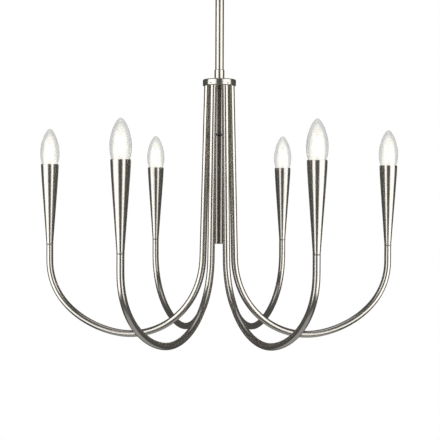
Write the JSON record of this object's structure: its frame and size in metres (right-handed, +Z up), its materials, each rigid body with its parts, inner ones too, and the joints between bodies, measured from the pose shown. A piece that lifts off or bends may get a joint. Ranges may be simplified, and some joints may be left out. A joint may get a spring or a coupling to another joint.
{
  "type": "multi arm chandelier",
  "caption": "Candle chandelier with swept tube arms on a round hub, conical cups with candle bulbs, a rigid down rod, a knuckle swivel and a round ceiling canopy",
  "frame": {"origin": "on the ceiling plane, above the middle of the hub", "axes": "+Z up along the down rod, -Y the front between the two front arms, +X the right side"},
  "size_m": [0.6662, 0.6051, 0.7043],
  "materials": {
    "brushed_nickel": "warm brushed nickel with a soft lacquer",
    "zinc_steel": "plain zinc plated steel",
    "bulb_brass": "thin rolled screw shell",
    "white_ceramic": "glazed white porcelain",
    "splice_plastic": "moulded wire joint cap",
    "wire_jacket": "pale flexible cable jacket",
    "earth_green": "green earth screw",
    "clear_glass": "clear bulb glass, lit from inside"
  },
  "bodies": {
    "ceiling_mount": {"ceiling_strap": "zinc_steel", "ceiling_nipple": "zinc_steel", "strap_nut": "zinc_steel", "earth_screw": "earth_green", "canopy": "brushed_nickel", "canopy_collar": "brushed_nickel"},
    "swivel": {"swivel_fork": "brushed_nickel", "swivel_pin": "zinc_steel"},
    "pendant": {"swivel_knuckle": "brushed_nickel", "down_rod": "brushed_nickel", "rod_sleeve": "brushed_nickel", "main_lead": "wire_jacket", "splice_cap": "splice_plastic", "hub": "brushed_nickel", "set_screw_front_right": "zinc_steel", "set_screw_right": "zinc_steel", "set_screw_back_right": "zinc_steel", "set_screw_back_left": "zinc_steel", "set_screw_left": "zinc_steel", "set_screw_front_left": "zinc_steel", "stem_tube": "brushed_nickel", "stem_cap": "brushed_nickel", "arm_spacer": "zinc_steel"},
    "arm_assembly_front_right": {"arm_front_right": "brushed_nickel", "arm_lead_front_right": "wire_jacket", "cup_front_right": "brushed_nickel", "lampholder_front_right": "white_ceramic"},
    "arm_assembly_right": {"arm_right": "brushed_nickel", "arm_lead_right": "wire_jacket", "cup_right": "brushed_nickel", "lampholder_right": "white_ceramic"},
    "arm_assembly_back_right": {"arm_back_right": "brushed_nickel", "arm_lead_back_right": "wire_jacket", "cup_back_right": "brushed_nickel", "lampholder_back_right": "white_ceramic"},
    "arm_assembly_back_left": {"arm_back_left": "brushed_nickel", "arm_lead_back_left": "wire_jacket", "cup_back_left": "brushed_nickel", "lampholder_back_left": "white_ceramic"},
    "arm_assembly_left": {"arm_left": "brushed_nickel", "arm_lead_left": "wire_jacket", "cup_left": "brushed_nickel", "lampholder_left": "white_ceramic"},
    "arm_assembly_front_left": {"arm_front_left": "brushed_nickel", "arm_lead_front_left": "wire_jacket", "cup_front_left": "brushed_nickel", "lampholder_front_left": "white_ceramic"},
    "bulb_front_right": {"bulb_base_front_right": "bulb_brass", "bulb_glass_front_right": "clear_glass"},
    "bulb_right": {"bulb_base_right": "bulb_brass", "bulb_glass_right": "clear_glass"},
    "bulb_back_right": {"bulb_base_back_right": "bulb_brass", "bulb_glass_back_right": "clear_glass"},
    "bulb_back_left": {"bulb_base_back_left": "bulb_brass", "bulb_glass_back_left": "clear_glass"},
    "bulb_left": {"bulb_base_left": "bulb_brass", "bulb_glass_left": "clear_glass"},
    "bulb_front_left": {"bulb_base_front_left": "bulb_brass", "bulb_glass_front_left": "clear_glass"}
  },
  "joints": [
    {"name": "swivel_yaw", "type": "hinge", "parent": "ceiling_mount", "child": "swivel", "pos_m": [0, 0, -0.04], "axis": [0, 0, 1], "range_deg": [-175, 175]},
    {"name": "pendant_tilt", "type": "hinge", "parent": "swivel", "child": "pendant", "pos_m": [0, 0, -0.0545], "axis": [0, 1, 0], "range_deg": [-30, 30]},
    {"name": "arm_turn_front_right", "type": "hinge", "parent": "pendant", "child": "arm_assembly_front_right", "pos_m": [0.01065, -0.01845, -0.243], "axis": [-0.0118, 0.0213, 0.9997], "range_deg": [-20, 20]},
    {"name": "arm_turn_right", "type": "hinge", "parent": "pendant", "child": "arm_assembly_right", "pos_m": [0.0213, 0, -0.243], "axis": [-0.024, -0.0038, 0.9997], "range_deg": [-20, 20]},
    {"name": "arm_turn_back_right", "type": "hinge", "parent": "pendant", "child": "arm_assembly_back_right", "pos_m": [0.01065, 0.01845, -0.243], "axis": [-0.0099, -0.0222, 0.9997], "range_deg": [-20, 20]},
    {"name": "arm_turn_back_left", "type": "hinge", "parent": "pendant", "child": "arm_assembly_back_left", "pos_m": [-0.01065, 0.01845, -0.243], "axis": [0.0099, -0.0222, 0.9997], "range_deg": [-20, 20]},
    {"name": "arm_turn_left", "type": "hinge", "parent": "pendant", "child": "arm_assembly_left", "pos_m": [-0.0213, 0, -0.243], "axis": [0.024, -0.0038, 0.9997], "range_deg": [-20, 20]},
    {"name": "arm_turn_front_left", "type": "hinge", "parent": "pendant", "child": "arm_assembly_front_left", "pos_m": [-0.01065, -0.01845, -0.243], "axis": [0.0118, 0.0213, 0.9997], "range_deg": [-20, 20]},
    {"name": "bulb_unscrew_front_right", "type": "slide", "parent": "arm_assembly_front_right", "child": "bulb_front_right", "axis": [0, 0, 1], "range_m": [0, 0.02]},
    {"name": "bulb_unscrew_right", "type": "slide", "parent": "arm_assembly_right", "child": "bulb_right", "axis": [0, 0, 1], "range_m": [0, 0.02]},
    {"name": "bulb_unscrew_back_right", "type": "slide", "parent": "arm_assembly_back_right", "child": "bulb_back_right", "axis": [0, 0, 1], "range_m": [0, 0.02]},
    {"name": "bulb_unscrew_back_left", "type": "slide", "parent": "arm_assembly_back_left", "child": "bulb_back_left", "axis": [0, 0, 1], "range_m": [0, 0.02]},
    {"name": "bulb_unscrew_left", "type": "slide", "parent": "arm_assembly_left", "child": "bulb_left", "axis": [0, 0, 1], "range_m": [0, 0.02]},
    {"name": "bulb_unscrew_front_left", "type": "slide", "parent": "arm_assembly_front_left", "child": "bulb_front_left", "axis": [0, 0, 1], "range_m": [0, 0.02]}
  ]
}
